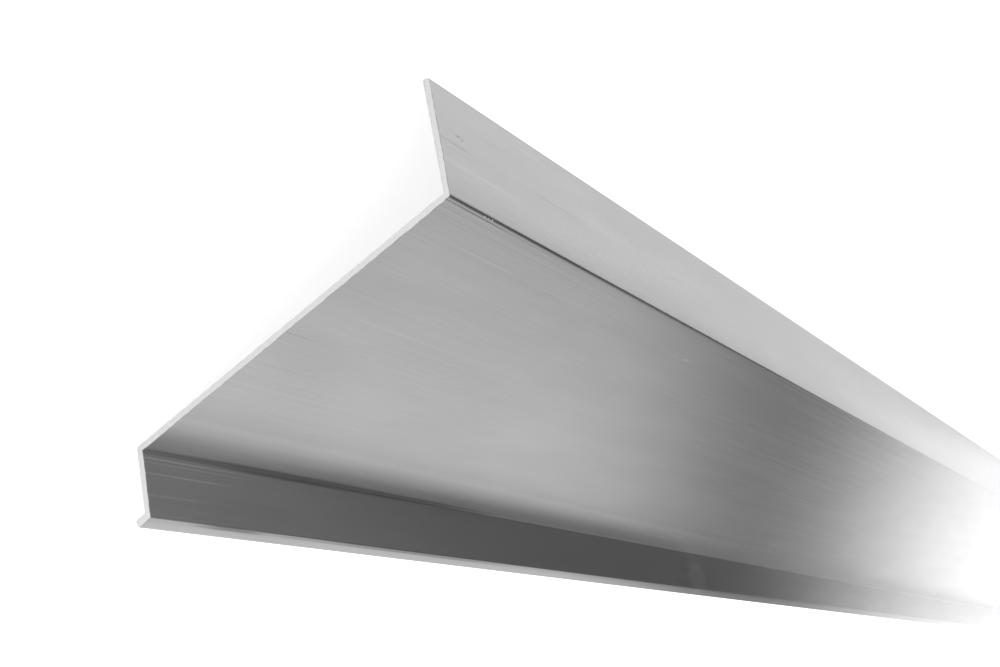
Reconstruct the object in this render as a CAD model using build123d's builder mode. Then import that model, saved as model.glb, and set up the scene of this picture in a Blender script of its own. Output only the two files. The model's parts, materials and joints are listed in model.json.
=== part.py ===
"""A bar of thin-walled aluminium extrusion, one solid piece of stock.

The section is a drawn-out Z: an upper flange, a wide sloping web, a lower flange parallel to
the upper one, and a short lip at its foot, parallel to the web. Every bend has the same
included angle. The show side is the side that looks up when the bar lies unheld on a floor:
then it rests on two long lines, the back corner of the upper flange's tip and the outer
corner of the lower bend. Millimetres and degrees, +X along the bar, +Z up.
"""

from build123d import *
import math
import os

# Driving dimensions of the bar
bar_length = 2000.0
wall = 2.0
upper_flange_width = 35.5
web_width = 118.5
lower_flange_width = 19.5
lip_width = 5.4
upper_bend_angle = 110.0
lower_bend_angle = 110.0
lip_bend_angle = 110.0

# Corner radii of the die
show_corner_radius = 1.0
rest_corner_radius = 0.8
lip_corner_radius = 0.3
inner_corner_radius = 0.3
flange_tip_radius = 0.4
lip_tip_radius = 0.9

# Headings of the show face, walked from the upper flange's tip to the lip's tip. The widths
# above are measured along that face, between sharp corners.
upper_heading = -90.0
web_heading = upper_heading + 180.0 - upper_bend_angle
lower_heading = web_heading - 180.0 + lower_bend_angle
lip_heading = lower_heading + 180.0 - lip_bend_angle


def ahead(heading):
    """Unit vector along a heading in the section."""
    return Vector(math.cos(math.radians(heading)), math.sin(math.radians(heading)))


def behind(corner, heading_in, heading_out, depth):
    """The point at this depth behind a corner of the show face, square to both its faces."""
    normals = ahead(heading_in + 90.0) + ahead(heading_out + 90.0)
    return corner + normals * (2.0 * depth / normals.dot(normals))


# Corners of the show face
flange_tip = Vector(0.0, upper_flange_width)
upper_corner = flange_tip + ahead(upper_heading) * upper_flange_width
lower_corner = upper_corner + ahead(web_heading) * web_width
lip_corner = lower_corner + ahead(lower_heading) * lower_flange_width
lip_tip = lip_corner + ahead(lip_heading) * lip_width

# The same corners on the back
flange_tip_back = flange_tip + ahead(upper_heading + 90.0) * wall
upper_corner_back = behind(upper_corner, upper_heading, web_heading, wall)
lower_corner_back = behind(lower_corner, web_heading, lower_heading, wall)
lip_corner_back = behind(lip_corner, lower_heading, lip_heading, wall)
lip_tip_back = lip_tip + ahead(lip_heading + 90.0) * wall

corner_radii = [
    (flange_tip, flange_tip_radius),
    (flange_tip_back, flange_tip_radius),
    (upper_corner, show_corner_radius),
    (upper_corner_back, inner_corner_radius),
    (lower_corner, inner_corner_radius),
    (lower_corner_back, rest_corner_radius),
    (lip_corner, lip_corner_radius),
    (lip_corner_back, inner_corner_radius),
    (lip_tip, lip_tip_radius),
    (lip_tip_back, lip_tip_radius),
]

# The floor is the common tangent of the two rounded corners that the bar rests on
tip_inwards = ahead(upper_heading) - ahead(upper_heading + 90.0)
tip_centre = flange_tip_back + tip_inwards * flange_tip_radius
bend_centre = behind(lower_corner, web_heading, lower_heading, wall - rest_corner_radius)
span = bend_centre - tip_centre
floor_heading = math.degrees(
    math.atan2(span.Y, span.X)
    + math.asin((rest_corner_radius - flange_tip_radius) / span.length)
)
floor_down = ahead(floor_heading + 90.0)
floor_along = ahead(floor_heading)
floor_height = flange_tip_radius + tip_centre.dot(floor_down)
rest_plane = Plane(
    origin=(0.0, 0.0, floor_height),
    x_dir=(0.0, -floor_along.X, -floor_down.X),
    z_dir=(1.0, 0.0, 0.0),
)

# The bar, extruded from its section both ways from the middle
with BuildPart() as profile:
    with BuildSketch(rest_plane) as section:
        with BuildLine() as show_face:
            Polyline(flange_tip, upper_corner, lower_corner, lip_corner, lip_tip)
            offset(amount=wall, side=Side.LEFT, kind=Kind.INTERSECTION)
        make_face()
        for corner, radius in corner_radii:
            fillet(section.vertices().sort_by_distance(corner)[0], radius)
    extrude(amount=bar_length / 2.0, both=True)

# The middle of the bar's width over the floor is the middle of the frame
width_middle = profile.part.bounding_box().center().Y
profile.part.move(Location((0.0, -width_middle, 0.0)))
profile.part.label = "profile"

os.makedirs("parts", exist_ok=True)
export_step(profile.part, "parts/profile.step")
print("profile volume", round(profile.part.volume), "box", profile.part.bounding_box())
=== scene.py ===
"""The aluminium extrusion bar, dressed: die lines, rounded corners, sawn ends and studio light.

Metres, with +X along the bar and +Z up. The photograph's near end of the bar is at -X.
"""

import bmesh
import bpy
import json
import math
from mathutils import Matrix, Vector, noise


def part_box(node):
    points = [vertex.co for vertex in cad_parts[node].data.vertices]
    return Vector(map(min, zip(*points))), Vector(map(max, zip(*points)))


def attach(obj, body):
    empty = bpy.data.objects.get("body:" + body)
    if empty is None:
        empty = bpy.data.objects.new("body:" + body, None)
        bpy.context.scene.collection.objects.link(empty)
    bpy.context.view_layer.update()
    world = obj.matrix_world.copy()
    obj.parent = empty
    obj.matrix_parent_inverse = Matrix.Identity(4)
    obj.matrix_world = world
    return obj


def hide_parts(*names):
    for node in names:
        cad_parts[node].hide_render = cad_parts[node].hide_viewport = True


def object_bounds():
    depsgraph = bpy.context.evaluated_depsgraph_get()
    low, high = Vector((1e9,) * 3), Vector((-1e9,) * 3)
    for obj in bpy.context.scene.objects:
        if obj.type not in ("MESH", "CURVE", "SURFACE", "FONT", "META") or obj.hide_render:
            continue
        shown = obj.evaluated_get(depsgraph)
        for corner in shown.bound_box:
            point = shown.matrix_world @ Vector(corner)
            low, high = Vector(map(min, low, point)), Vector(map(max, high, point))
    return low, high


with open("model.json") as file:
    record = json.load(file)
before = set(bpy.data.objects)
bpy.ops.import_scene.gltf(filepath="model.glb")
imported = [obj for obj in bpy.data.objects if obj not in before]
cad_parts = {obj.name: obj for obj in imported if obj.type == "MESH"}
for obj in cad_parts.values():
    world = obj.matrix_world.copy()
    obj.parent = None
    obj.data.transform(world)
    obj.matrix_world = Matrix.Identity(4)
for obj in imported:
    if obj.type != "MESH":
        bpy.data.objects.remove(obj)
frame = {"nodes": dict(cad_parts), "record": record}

MM = 0.001
cad_low, cad_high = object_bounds()

# Camera, matched to the photograph, whose picture is rolled
CAMERA_PLACE = Vector((-1.35042, 0.10272, 0.25563))
CAMERA_AIM = Vector((-0.82811, 0.00618, -0.02342))
CAMERA_ROLL = math.radians(134.097)
CAMERA_LENS = 56.179
CAMERA_CLIP = 10.0 * MM
SENSOR_WIDTH = 36.0

# Columns across the bar's faces and stations along it, closer together near its ends
COLUMN_STEP = 0.5 * MM
GROOVE_COLUMNS = 8
GROOVE_MARGIN = 0.6
FILLET_COLUMNS = 9
STATION_STEP = 50.0 * MM
STATION_STEP_NEAR_END = 10.0 * MM
NEAR_END = 100.0 * MM
SAME_PLACE = 0.01 * MM

# Fine relief that the die leaves, and the sawn edge's broken corner
DIE_RELIEF = 0.004 * MM
DIE_RELIEF_WIDTH = 0.9 * MM
DIE_RELIEF_ROW = 0.0
END_CHAMFER = 0.14 * MM
BURR_LENGTH = 1.7 * MM
BURR_ROW = 5.0
RANDOM_LAYER = 7.3

# The section's corners in order from the upper flange's tip, down the show side and back:
# their radii, and how the face before and the face after fall away towards them: by how
# much, and over what distance
CORNER_RADII = [0.4, 1.15, 0.5, 0.4, 0.7, 0.9, 0.3, 0.8, 0.3, 0.4]
LEVEL = (0.0, 1.0 * MM)
RIDGE, FOOT = 1, 3
CORNER_FALLS = {
    RIDGE: ((0.40 * MM, 6.5 * MM), (0.13 * MM, 1.1 * MM)),
    FOOT: (LEVEL, (0.46 * MM, 1.9 * MM)),
}

# The lip's back as modelled, and its crowned show face, which stands a little higher
LIP_BACK_WIDTH = 5.4 * MM
LIP_WIDTH = 4.80 * MM
LIP_RAISE = 0.70 * MM

# Grooves of the die: face by its first corner, distance from that corner, width, depth, and
# how far from each end of the bar the groove fades out
UPPER_FLANGE, WEB, LOWER_FLANGE, LIP = range(4)
GROOVES = [
    (WEB, 1.45 * MM, 0.8 * MM, 0.030 * MM, 90 * MM),
    (WEB, 2.9 * MM, 1.0 * MM, 0.008 * MM, 110 * MM),
    (WEB, 5.7 * MM, 1.2 * MM, 0.010 * MM, 180 * MM),
    (LOWER_FLANGE, 1.75 * MM, 0.8 * MM, 0.014 * MM, 90 * MM),
    (LOWER_FLANGE, 5.1 * MM, 0.9 * MM, 0.006 * MM, 130 * MM),
    (UPPER_FLANGE, 1.4 * MM, 1.6 * MM, 0.022 * MM, 600 * MM),
    (UPPER_FLANGE, 26.0 * MM, 1.6 * MM, 0.006 * MM, 110 * MM),
]

# Scuffs, lighter lines and patches, and painted shade and painted highlights by the bends, in
# millimetres:
# face, distance from the bar's near end, distance from the face's first corner, half length, half width,
# and last the change of tone
SCUFFS_AND_PAINTED_LIGHT = [
    (UPPER_FLANGE, 11.5, 14.2, 2.0, 0.45, 0.62),
    (UPPER_FLANGE, 13.9, 14.7, 1.2, 0.50, 0.68),
    (UPPER_FLANGE, 8.5, 13.3, 2.6, 0.50, 0.88),
    (WEB, 209.0, 13.5, 4.0, 1.20, 1.14),
    (WEB, 199.0, 14.1, 5.0, 1.00, 1.06),
    # Painted shade: a dark strip on the web beside the ridge, by the near end
    (WEB, 15.0, 1.65, 28.0, 0.38, 0.74),
    # Two lighter lines on the web near the bend, by the near end
    (WEB, 34.0, 113.4, 45.0, 0.30, 1.12),
    (WEB, 30.0, 116.4, 40.0, 0.25, 1.10),
    # Painted shade: a dark band on the web along the bend
    (WEB, 95.0, 117.75, 155.0, 2.00, 0.50),
    # Painted highlight: a long, lighter band along the web towards the bend
    (WEB, 140.0, 106.5, 480.0, 7.50, 1.14),
    # Painted highlights along the lower flange's die lines, by the near end
    (LOWER_FLANGE, 10.0, 1.9, 60.0, 0.36, 1.30),
    (LOWER_FLANGE, 20.0, 3.2, 50.0, 0.30, 1.25),
    (LOWER_FLANGE, 15.0, 6.5, 40.0, 0.34, 1.22),
    (LOWER_FLANGE, 8.0, 13.0, 30.0, 0.30, 1.18),
    # A lighter patch across the lower flange, about 455 mm from the near end
    (LOWER_FLANGE, 455.0, 11.0, 18.0, 14.0, 1.22),
    # Painted shade: dark strips along the lip beside its crease with the lower flange
    (LIP, 38.0, 0.6, 26.0, 1.05, 0.55),
    (LIP, 140.0, 0.5, 130.0, 1.00, 0.60),
]
PATCH_EDGE = (0.9, 1.5)
PATCH_RAGGEDNESS = 1.5

# Specks of dust by the ridge, in millimetres: distances from the near end and from the ridge,
# and half size
SPECKS = [(21.0, 0.95, 0.55), (23.2, 0.85, 0.42), (25.4, 0.70, 0.50)]
DUST_TONE = 0.55

# Patterns of the metal: how close each one is along and across the bar, and what it changes
USUAL_NOISE = (0.3, 0.7)
LINE_GRAIN = (3.0, 900.0, 900.0)
LINE_TONES = (0.68, 0.72)
LINE_ROUGHNESS = (0.215, 0.24)
LINE_BUMP = 0.12
CLOUD_GRAIN = (14.0, 70.0, 70.0)
CLOUD_TONES = (0.97, 1.03)
LENGTHWISE_SHINE = 0.97
BUMP_HEIGHT = 0.02 * MM

# Scratches: where in their noise the light and the dark ones are, how they grow from the bar's
# middle to its ends, from web to flanges by the faces' tilt, and where they break off
SCRATCH_GRAIN = (0.8, 1300.0, 1300.0)
SCRATCH_CHANGE = 0.055
LIGHT_SCRATCHES = (0.60, 0.72)
DARK_SCRATCHES = (0.28, 0.40)
SCRATCHED_ENDS = (0.85, 0.99)
FACE_TILTS = (0.65, 0.85)
FLANGE_TO_WEB = (1.6, 1.0)
BREAK_GRAIN = (35.0, 300.0, 300.0)
BREAK_NOISE = (0.42, 0.60)
BREAK_SHARES = (0.15, 1.5)

# Saw cut
SAWN_GRAIN = 1200.0
SAWN_TONES = (0.88, 0.94)
SAWN_ROUGHNESS = 0.5
SAWN_BUMP = 0.2

# Floor: its paint, its glow to the eye and as the bar mirrors it, and where along X that grows
FLOOR_SIZE = 30.0
FLOOR_TONE = 0.85
FLOOR_GLOW = 0.74
FLOOR_GLOW_MIRRORED = 0.20
FLOOR_GLOW_AHEAD = 0.60
FLOOR_AHEAD = (-0.30, 0.10)

# Studio levels as the bar mirrors them. Each span is in degrees away from the bar's own line,
# apart from the gap's, which is counted from its deepest angle
STUDIO_LIGHT = 0.8
ROOM_LIGHT = 0.8
BACKDROP_LEVEL = 1.9
BACKDROP_SPAN = (8.0, 19.0)
DIM_SPAN = (20.0, 90.0)
DIM_LEVELS = (0.09, 0.68)
DIM_RISE_SPAN = (27.0, 30.5)
DIM_RISE = 1.3
DIM_FALL_SPAN = (34.5, 38.0)
DIM_FALL = 0.77
KEY_SPAN = (18.5, 26.0)
KEY_LEVELS = (0.27, 0.98)
GAP_DEEPEST = 31.5
GAP_SPAN = (2.5, 6.5)
GAP_LEVEL = 0.08
GLOW_SPAN = (18.0, 32.0)
GLOW_LEVELS = (0.28, 0.15)
BAND_GRAIN = 0.35
BAND_TONES = (0.94, 1.06)

# The middle, outer and inner edge of each part of the studio, round the bar's line from +Y
# over the top to -Y
KEY_MIDDLE = math.radians(190)
KEY_OUTER = math.radians(82)
KEY_INNER = math.radians(40)
GAP_MIDDLE = math.radians(60)
GAP_OUTER = math.radians(34)
GAP_INNER = math.radians(20)
GLOW_MIDDLE = math.radians(90)
GLOW_OUTER = math.radians(24)
GLOW_INNER = math.radians(10)

LAMP_PLACE = (-0.6, 0.5, 2.2)
LAMP_SIZE = (2.4, 1.6)
LAMP_POWER = 12.0


def crossing(line, other):
    """Where two lines of the section meet. A line is a point and its normal."""
    (point, normal), (there, across) = line, other
    along = Vector((-normal.y, normal.x))
    return point + along * ((there - point).dot(across) / along.dot(across))


def section_corners():
    """The section's sharp corners, worked out from the middles and normals of its flat faces."""
    lines = {}
    for mount in frame["record"]["mounts"]:
        place, axis = mount["pos_m"], mount["axis"]
        lines[mount["name"]] = (Vector(place[1:]), Vector(axis[1:]).normalized())
    corners = []
    for side in ("face", "back"):
        upper, web, lower = (lines[f"{name}_{side}"] for name in ("upper_flange", "web", "lower_flange"))
        corners.append([crossing(upper, web), crossing(web, lower)])
    (ridge, bend), (ridge_back, bend_back) = corners
    tip = lines["upper_flange_face"][0] * 2 - ridge
    foot = lines["lower_flange_face"][0] * 2 - bend
    web_normal = lines["web_face"][1]
    outwards = (bend - ridge).normalized()
    wall = (lines["web_face"][0] - lines["web_back"][0]).dot(web_normal)
    lip_back = foot + outwards * LIP_BACK_WIDTH - web_normal * wall
    foot_back = crossing(lines["lower_flange_back"], (lip_back, web_normal))
    foot = crossing(lines["lower_flange_face"], (foot + web_normal * LIP_RAISE, web_normal))
    lip_tip = foot + outwards * LIP_WIDTH
    tip_back = tip - lines["upper_flange_face"][1] * wall
    return [tip, ridge, bend, foot, lip_tip, lip_back, foot_back, bend_back, ridge_back, tip_back]


def outside(heading):
    """The outward normal of an outline that is walked anticlockwise."""
    return Vector((heading.y, -heading.x))


def fillet_arc(corner, before, after, radius, falls):
    """Points and outward normals of a fillet, in order, for an outline walked anticlockwise."""
    (depth_in, reach_in), (depth_out, reach_out) = falls
    heading_in = (corner - before).normalized()
    heading_out = (after - corner).normalized()
    lowered_in = (corner - outside(heading_in) * depth_in, outside(heading_in))
    lowered_out = (corner - outside(heading_out) * depth_out, outside(heading_out))
    corner = crossing(lowered_in, lowered_out)
    heading_in = Matrix.Rotation(math.atan(depth_in / reach_in), 2) @ heading_in
    heading_out = Matrix.Rotation(-math.atan(depth_out / reach_out), 2) @ heading_out
    turn = math.atan2(heading_in.cross(heading_out), heading_in.dot(heading_out))
    start = corner - heading_in * radius * math.tan(abs(turn) / 2)
    side = math.copysign(radius, turn)
    centre = start - outside(heading_in) * side
    arc = []
    for i in range(FILLET_COLUMNS):
        normal = Matrix.Rotation(turn * i / (FILLET_COLUMNS - 1), 2) @ outside(heading_in)
        arc.append((centre + normal * side, normal))
    return arc


def run_places(face, length, start, end):
    """Distances from a face's first corner at which it has columns, between its two fillets."""
    steps = max(1, math.ceil((length - start - end) / COLUMN_STEP))
    places = [start + (length - start - end) * i / steps for i in range(1, steps)]
    for groove, middle, width, *_ in GROOVES:
        if groove == face:
            places = [place for place in places if abs(place - middle) > width * GROOVE_MARGIN]
            places += [middle + width * (i / GROOVE_COLUMNS - 0.5) for i in range(GROOVE_COLUMNS + 1)]
    return sorted(place for place in places if start < place < length - end)


def groove_depths(face, place):
    """How deep each groove is at this distance from the face's first corner."""
    depths = []
    for groove, middle, width, full_depth, _ in GROOVES:
        inside = groove == face and abs(place - middle) < width / 2
        depths.append(full_depth * math.cos(math.pi * (place - middle) / width) ** 2 if inside else 0.0)
    return depths


def section_columns():
    """The outline's columns: point, outward normal, and the depth of each groove there."""
    corners = section_corners()
    count = len(corners)
    falls = [CORNER_FALLS.get(i, (LEVEL, LEVEL)) for i in range(count)]
    arcs = []
    for i, radius in enumerate(CORNER_RADII):
        after = corners[(i + 1) % count]
        arcs.append(fillet_arc(corners[i], corners[i - 1], after, radius * MM, falls[i]))
    columns = []
    for i, arc in enumerate(arcs):
        columns += [(point, normal, []) for point, normal in arc]
        after = (i + 1) % count
        run = corners[after] - corners[i]
        heading = run.normalized()
        normal = outside(heading)
        start = (arc[-1][0] - corners[i]).dot(heading)
        end = (corners[after] - arcs[after][0][0]).dot(heading)
        (fall, reach), (next_fall, next_reach) = falls[i][1], falls[after][0]
        for place in run_places(i, run.length, start, end):
            depth = fall * math.exp(-place / reach)
            depth += next_fall * math.exp((place - run.length) / next_reach)
            point = corners[i] + heading * place - normal * depth
            columns.append((point, normal, groove_depths(i, place)))
    return columns


def ripple(distance, width, row):
    """A smooth run of heights between -1 and 1 that changes over about this width."""
    return noise.noise(Vector((distance / width, row, RANDOM_LAYER)))


def stations(low, high):
    """Where the bar's rings lie along it, closer together near its ends."""
    near = round(NEAR_END / STATION_STEP_NEAR_END)
    far = round((high - low - 2 * NEAR_END) / STATION_STEP)
    places = [low + STATION_STEP_NEAR_END * i for i in range(near)]
    places += [low + NEAR_END + STATION_STEP * i for i in range(far + 1)]
    places += [high - STATION_STEP_NEAR_END * i for i in reversed(range(near))]
    places[0] += END_CHAMFER
    places[-1] -= END_CHAMFER
    return places


def bar_rings(low, high):
    """The section's outline at each station, with the relief, the grooves and the broken ends."""
    columns = section_columns()
    travelled, fine, burr = 0.0, [], []
    for i, (point, *_) in enumerate(columns):
        travelled += (point - columns[i - 1][0]).length if i else 0.0
        fine.append(DIE_RELIEF * (0.5 + 0.5 * ripple(travelled, DIE_RELIEF_WIDTH, DIE_RELIEF_ROW)))
        burr.append(END_CHAMFER * (1.0 + ripple(travelled, BURR_LENGTH, BURR_ROW)))
    rings = []
    for x in stations(low, high):
        from_end = min(x - low, high - x)
        strengths = [max(0.0, 1.0 - from_end / fade) for *_, fade in GROOVES]
        ring = []
        for (point, normal, cuts), height in zip(columns, fine):
            depth = height + sum(cut * strength for cut, strength in zip(cuts, strengths))
            ring.append(point - normal * depth)
        rings.append((x, ring))
    inset = [point - column[1] * cut for point, column, cut in zip(rings[0][1], columns, burr)]
    return [(low, inset)] + rings + [(high, inset)]


def make_bar(node):
    """The bar with its die lines, rounded corners and sawn ends, inside the node's own shape."""
    low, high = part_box(node.name)
    bm = bmesh.new()
    loops = []
    for x, points in bar_rings(low.x, high.x):
        loops.append([bm.verts.new((x, point.x, point.y)) for point in points])
    count = len(loops[0])
    for here, there in zip(loops, loops[1:]):
        for i in range(count):
            j = (i + 1) % count
            face = bm.faces.new((here[i], here[j], there[j], there[i]))
            face.smooth = True
    for loop, backwards in ((loops[0], True), (loops[-1], False)):
        cap = bm.faces.new(list(reversed(loop)) if backwards else loop)
        cap.material_index = 1
    sharp = set(loops[0] + loops[1] + loops[-2] + loops[-1])
    for edge in bm.edges:
        around = abs(edge.verts[0].co.x - edge.verts[1].co.x) < SAME_PLACE
        edge.smooth = not (around and edge.verts[0] in sharp)
    bmesh.ops.recalc_face_normals(bm, faces=bm.faces)
    mesh = bpy.data.meshes.new("extrusion_bar")
    bm.to_mesh(mesh)
    bm.free()
    bar = bpy.data.objects.new("extrusion_bar", mesh)
    bpy.context.scene.collection.objects.link(bar)
    return bar


class Nodes:
    """A short way to add and join shader nodes."""

    def __init__(self, tree):
        self.tree = tree
        tree.nodes.clear()

    def add(self, kind, **settings):
        node = self.tree.nodes.new(kind)
        for name, value in settings.items():
            setattr(node, name, value)
        return node

    def link(self, output, target):
        self.tree.links.new(output, target)

    def put(self, value, socket):
        """Set a socket to a number, or link it to another node's output."""
        if isinstance(value, (int, float)):
            socket.default_value = value
        else:
            self.link(value, socket)

    def math(self, operation, *values):
        node = self.add("ShaderNodeMath", operation=operation)
        for value, socket in zip(values, node.inputs):
            self.put(value, socket)
        return node.outputs[0]

    def vector_math(self, operation, first, second=None, output=0):
        node = self.add("ShaderNodeVectorMath", operation=operation)
        self.link(first, node.inputs[0])
        if second is not None:
            node.inputs[1].default_value = second
        return node.outputs[output]

    def ramp(self, value, low, high, low_out, high_out, shape="SMOOTHSTEP"):
        node = self.add("ShaderNodeMapRange", clamp=True, interpolation_type=shape)
        self.link(value, node.inputs["Value"])
        limits = {"From Min": low, "From Max": high, "To Min": low_out, "To Max": high_out}
        for name, limit in limits.items():
            self.put(limit, node.inputs[name])
        return node.outputs["Result"]

    def grain(self, place, stretch, detail, roughness=0.5):
        """Noise that is drawn out, with its values mostly between 0.3 and 0.7."""
        mapping = self.add("ShaderNodeMapping")
        self.link(place, mapping.inputs["Vector"])
        mapping.inputs["Scale"].default_value = stretch
        pattern = self.add("ShaderNodeTexNoise")
        pattern.inputs["Scale"].default_value = 1.0
        pattern.inputs["Detail"].default_value = detail
        pattern.inputs["Roughness"].default_value = roughness
        self.link(mapping.outputs[0], pattern.inputs["Vector"])
        return pattern.outputs["Fac"]

    def bump(self, height, strength):
        node = self.add("ShaderNodeBump")
        node.inputs["Strength"].default_value = strength
        node.inputs["Distance"].default_value = BUMP_HEIGHT
        self.link(height, node.inputs["Height"])
        return node.outputs["Normal"]

    def grey(self, value):
        node = self.add("ShaderNodeCombineColor")
        for socket in node.inputs[:3]:
            self.link(value, socket)
        return node.outputs[0]

    def split(self, vector):
        node = self.add("ShaderNodeSeparateXYZ")
        self.link(vector, node.inputs[0])
        return node.outputs

    def seen_directly(self, path):
        """1 where a ray comes straight from the camera or through glass, and 0 elsewhere."""
        return self.math("MAXIMUM", path.outputs["Is Camera Ray"], path.outputs["Is Transmission Ray"])


def new_material(name):
    """A material with an empty node tree, the tree's helper, and its output node."""
    material = bpy.data.materials.new(name)
    material.use_nodes = True
    nodes = Nodes(material.node_tree)
    return material, nodes, nodes.add("ShaderNodeOutputMaterial")


def face_place(face, from_end, across):
    """A place on a face of the show side, by its distances from the near end and first corner."""
    corners = section_corners()
    heading = (corners[face + 1] - corners[face]).normalized()
    spot = corners[face] + heading * across * MM
    return Vector((cad_low.x + from_end * MM, spot.x, spot.y))


def patch(nodes, place, centre, half_size, within, beyond):
    """A small ragged patch: one value within it and another beyond it."""
    from_centre = nodes.vector_math("SUBTRACT", place, centre)
    scaled = nodes.vector_math("DIVIDE", from_centre, [value * MM for value in half_size])
    distance = nodes.vector_math("LENGTH", scaled, output="Value")
    ragged = nodes.add("ShaderNodeTexNoise")
    nodes.link(scaled, ragged.inputs["Vector"])
    ragged.inputs["Scale"].default_value = PATCH_RAGGEDNESS
    edge = nodes.math("ADD", distance, ragged.outputs["Fac"])
    return nodes.ramp(edge, *PATCH_EDGE, within, beyond)


def scratches(nodes, place):
    """Changes of tone by straight, broken scratches along the bar, clearer towards its ends."""
    pattern = nodes.grain(place, SCRATCH_GRAIN, 1.0)
    light = nodes.ramp(pattern, *LIGHT_SCRATCHES, 0.0, SCRATCH_CHANGE)
    dark = nodes.ramp(pattern, *DARK_SCRATCHES, SCRATCH_CHANGE, 0.0)
    change = nodes.math("SUBTRACT", light, dark)
    from_middle = nodes.math("ABSOLUTE", nodes.split(place)["X"])
    tilt = nodes.split(nodes.add("ShaderNodeNewGeometry").outputs["Normal"])["Z"]
    breaks = nodes.grain(place, BREAK_GRAIN, 2.0)
    for share in (
        nodes.ramp(from_middle, *SCRATCHED_ENDS, 0.0, 1.0),
        nodes.ramp(tilt, *FACE_TILTS, *FLANGE_TO_WEB),
        nodes.ramp(breaks, *BREAK_NOISE, *BREAK_SHARES),
    ):
        change = nodes.math("MULTIPLY", change, share)
    return change


def dusted(nodes, place, surface):
    """The surface with specks of dust on it."""
    dust = nodes.add("ShaderNodeBsdfDiffuse")
    dust.inputs["Color"].default_value = (DUST_TONE, DUST_TONE, DUST_TONE, 1.0)
    amount = 0.0
    for from_end, across, half in SPECKS:
        speck = patch(nodes, place, face_place(WEB, from_end, across), (half, half, half), 1.0, 0.0)
        amount = nodes.math("MAXIMUM", speck, amount)
    mixed = nodes.add("ShaderNodeMixShader")
    nodes.link(amount, mixed.inputs["Fac"])
    nodes.link(surface, mixed.inputs[1])
    nodes.link(dust.outputs["BSDF"], mixed.inputs[2])
    return mixed.outputs[0]


def aluminium_face():
    """Bare aluminium as it leaves the die: grey, satin, with fine lines along the bar, scuffs, and
    painted shade and painted highlights by the bends.
    """
    material, nodes, out = new_material("mill_aluminium")
    metal = nodes.add("ShaderNodeBsdfPrincipled")
    metal.inputs["Metallic"].default_value = 1.0
    metal.inputs["Anisotropic"].default_value = LENGTHWISE_SHINE
    place = nodes.add("ShaderNodeTexCoord").outputs["Object"]
    lines = nodes.grain(place, LINE_GRAIN, 5.0, 0.65)
    clouds = nodes.grain(place, CLOUD_GRAIN, 3.0)

    tone = nodes.ramp(lines, *USUAL_NOISE, *LINE_TONES)
    tone = nodes.math("MULTIPLY", tone, nodes.ramp(clouds, *USUAL_NOISE, *CLOUD_TONES))
    # Scuffs in the tone, and painted shade and painted highlights by the bends
    for face, from_end, across, half_length, half_width, change in SCUFFS_AND_PAINTED_LIGHT:
        centre = face_place(face, from_end, across)
        half_size = (half_length, half_width, half_width)
        tone = nodes.math("MULTIPLY", tone, patch(nodes, place, centre, half_size, change, 1.0))
    tone = nodes.math("MULTIPLY", tone, nodes.math("ADD", scratches(nodes, place), 1.0))
    nodes.link(nodes.grey(tone), metal.inputs["Base Color"])
    nodes.link(nodes.ramp(lines, *USUAL_NOISE, *LINE_ROUGHNESS), metal.inputs["Roughness"])
    nodes.link(nodes.bump(lines, LINE_BUMP), metal.inputs["Normal"])

    # The lines run along the bar, so they spread the light round it
    normal = nodes.add("ShaderNodeNewGeometry").outputs["Normal"]
    nodes.link(nodes.vector_math("CROSS_PRODUCT", normal, (1.0, 0.0, 0.0)), metal.inputs["Tangent"])
    nodes.link(dusted(nodes, place, metal.outputs["BSDF"]), out.inputs["Surface"])
    return material


def sawn_end():
    """The saw cut: brighter and rougher, with shallow marks of the blade."""
    material, nodes, out = new_material("sawn_aluminium")
    metal = nodes.add("ShaderNodeBsdfPrincipled")
    metal.inputs["Metallic"].default_value = 1.0
    metal.inputs["Roughness"].default_value = SAWN_ROUGHNESS
    marks = nodes.add("ShaderNodeTexNoise")
    marks.inputs["Scale"].default_value = SAWN_GRAIN
    marks.inputs["Detail"].default_value = 4.0
    nodes.link(nodes.add("ShaderNodeTexCoord").outputs["Object"], marks.inputs["Vector"])
    tone = nodes.ramp(marks.outputs["Fac"], *USUAL_NOISE, *SAWN_TONES)
    nodes.link(nodes.grey(tone), metal.inputs["Base Color"])
    nodes.link(nodes.bump(marks.outputs["Fac"], SAWN_BUMP), metal.inputs["Normal"])
    nodes.link(metal.outputs["BSDF"], out.inputs["Surface"])
    return material


def pale_floor():
    """White paint with a glow of its own, brighter ahead of the bar where the bar mirrors it."""
    material, nodes, out = new_material("pale_floor")
    paint = nodes.add("ShaderNodeBsdfDiffuse")
    paint.inputs["Color"].default_value = (FLOOR_TONE, FLOOR_TONE, FLOOR_TONE, 1.0)
    path = nodes.add("ShaderNodeLightPath")
    seen = nodes.math("MULTIPLY", nodes.seen_directly(path), FLOOR_GLOW)
    along = nodes.split(nodes.add("ShaderNodeNewGeometry").outputs["Position"])["X"]
    ahead = nodes.ramp(along, *FLOOR_AHEAD, FLOOR_GLOW_MIRRORED, FLOOR_GLOW_AHEAD)
    mirrored = nodes.math("MULTIPLY", path.outputs["Is Glossy Ray"], ahead)
    glow = nodes.add("ShaderNodeEmission")
    nodes.link(nodes.math("ADD", seen, mirrored), glow.inputs["Strength"])
    both = nodes.add("ShaderNodeAddShader")
    nodes.link(paint.outputs[0], both.inputs[0])
    nodes.link(glow.outputs[0], both.inputs[1])
    nodes.link(both.outputs[0], out.inputs["Surface"])
    return material


def make_floor():
    """A plain pale floor that reads as white and keeps the bar's shadow."""
    bpy.ops.mesh.primitive_plane_add(size=FLOOR_SIZE, location=(0.0, 0.0, cad_low.z))
    floor = bpy.context.active_object
    floor.name = "floor"
    floor.data.materials.append(pale_floor())


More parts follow.
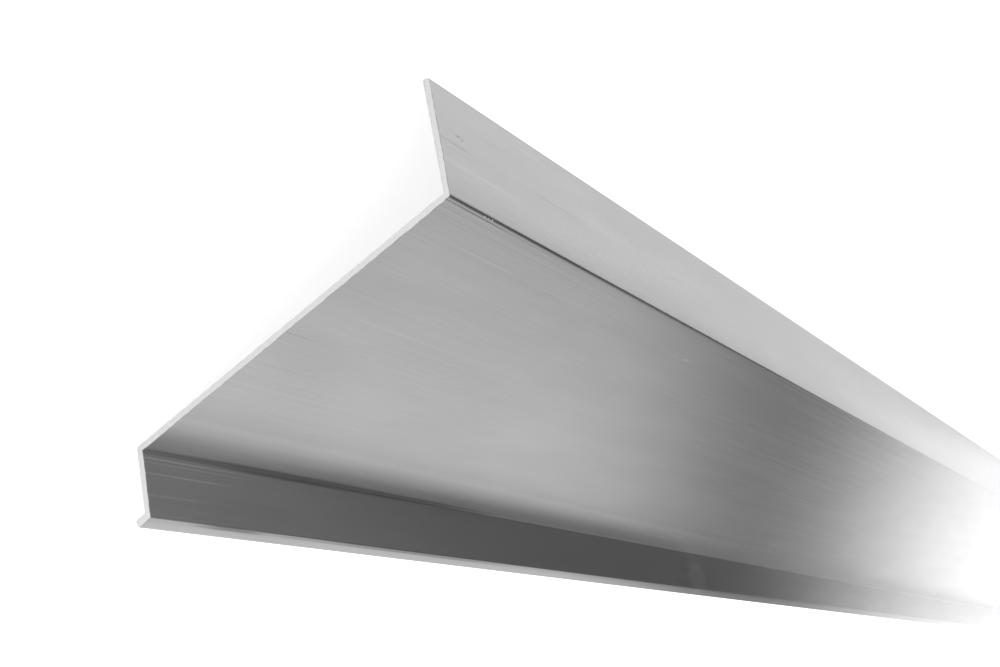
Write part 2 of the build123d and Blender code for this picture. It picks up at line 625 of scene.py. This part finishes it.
def mirrored_studio(nodes):
    """Levels of the studio as the bar mirrors it, by the direction that a mirrored ray takes."""
    parts = nodes.split(nodes.add("ShaderNodeTexCoord").outputs["Generated"])
    from_axis = nodes.math("DEGREES", nodes.math("ARCCOSINE", nodes.math("ABSOLUTE", parts["X"])))
    flat = nodes.add("ShaderNodeCombineXYZ")
    nodes.link(parts["Y"], flat.inputs["Y"])
    nodes.link(parts["Z"], flat.inputs["Z"])
    around = nodes.vector_math("NORMALIZE", flat.outputs[0])

    def sector(middle, outer, inner, out_of_it, in_it):
        """One level in a part of the studio round the bar's line, and another out of it."""
        heading = (0.0, math.cos(middle), math.sin(middle))
        nearness = nodes.vector_math("DOT_PRODUCT", around, heading, "Value")
        return nodes.ramp(nearness, math.cos(outer), math.cos(inner), out_of_it, in_it)

    # A key side and a dim side, which is a little brighter at some angles
    dim = nodes.ramp(from_axis, *DIM_SPAN, *DIM_LEVELS, "LINEAR")
    dim = nodes.math("MULTIPLY", dim, nodes.ramp(from_axis, *DIM_RISE_SPAN, 1.0, DIM_RISE))
    dim = nodes.math("MULTIPLY", dim, nodes.ramp(from_axis, *DIM_FALL_SPAN, 1.0, DIM_FALL))
    key = nodes.ramp(from_axis, *KEY_SPAN, *KEY_LEVELS)
    side = sector(KEY_MIDDLE, KEY_OUTER, KEY_INNER, dim, key)

    # A darker gap overhead and a faint glow beside it
    from_deepest = nodes.math("ABSOLUTE", nodes.math("SUBTRACT", from_axis, GAP_DEEPEST))
    deep = nodes.ramp(from_deepest, *GAP_SPAN, GAP_LEVEL, 1.0)
    side = nodes.math("MULTIPLY", side, sector(GAP_MIDDLE, GAP_OUTER, GAP_INNER, 1.0, deep))
    level = nodes.ramp(from_axis, *GLOW_SPAN, *GLOW_LEVELS)
    side = nodes.math("ADD", side, sector(GLOW_MIDDLE, GLOW_OUTER, GLOW_INNER, 0.0, level))

    # Faint bands, and the white backdrop at the bar's own ends
    bands = nodes.add("ShaderNodeTexNoise", noise_dimensions="1D")
    nodes.link(from_axis, bands.inputs["W"])
    bands.inputs["Scale"].default_value = BAND_GRAIN
    bands.inputs["Detail"].default_value = 2.0
    band = nodes.ramp(bands.outputs["Fac"], *USUAL_NOISE, *BAND_TONES, "LINEAR")
    side = nodes.math("MULTIPLY", side, band)
    return nodes.ramp(from_axis, *BACKDROP_SPAN, BACKDROP_LEVEL, side, "SMOOTHERSTEP")


def make_world():
    """A pale studio: white to the camera, with soft plain light and its own look in the metal."""
    world = bpy.data.worlds.new("studio")
    bpy.context.scene.world = world
    world.use_nodes = True
    nodes = Nodes(world.node_tree)
    out = nodes.add("ShaderNodeOutputWorld")
    sky = nodes.add("ShaderNodeBackground")
    sky.inputs["Color"].default_value = (1.0, 1.0, 1.0, 1.0)
    nodes.link(sky.outputs[0], out.inputs["Surface"])
    path = nodes.add("ShaderNodeLightPath")
    studio = mirrored_studio(nodes)
    level = nodes.ramp(path.outputs["Is Glossy Ray"], 0.0, 1.0, ROOM_LIGHT, studio, "LINEAR")
    level = nodes.math("MULTIPLY", level, STUDIO_LIGHT)
    strength = nodes.ramp(nodes.seen_directly(path), 0.0, 1.0, level, 1.0, "LINEAR")
    nodes.link(strength, sky.inputs["Strength"])


def make_lamp():
    """One large soft lamp overhead."""
    data = bpy.data.lights.new("softbox", "AREA")
    data.shape = "RECTANGLE"
    data.size, data.size_y = LAMP_SIZE
    data.energy = LAMP_POWER
    lamp = bpy.data.objects.new("softbox", data)
    lamp.location = LAMP_PLACE
    bpy.context.scene.collection.objects.link(lamp)


def make_camera():
    """The photograph's viewing angle. The picture is rolled about the line of sight."""
    data = bpy.data.cameras.new("camera")
    data.sensor_width = SENSOR_WIDTH
    data.lens = CAMERA_LENS
    data.clip_start = CAMERA_CLIP
    camera = bpy.data.objects.new("camera", data)
    sight = (CAMERA_AIM - CAMERA_PLACE).to_track_quat("-Z", "Y").to_matrix()
    roll = Matrix.Rotation(CAMERA_ROLL, 3, "Z")
    camera.matrix_world = Matrix.Translation(CAMERA_PLACE) @ (sight @ roll).to_4x4()
    bpy.context.scene.collection.objects.link(camera)
    bpy.context.scene.camera = camera


bar = make_bar(frame["nodes"]["profile"])
bar.data.materials.append(aluminium_face())
bar.data.materials.append(sawn_end())
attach(bar, "root")
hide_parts("profile")

make_floor()
make_world()
make_lamp()
make_camera()
bpy.context.scene.view_settings.view_transform = "Standard"
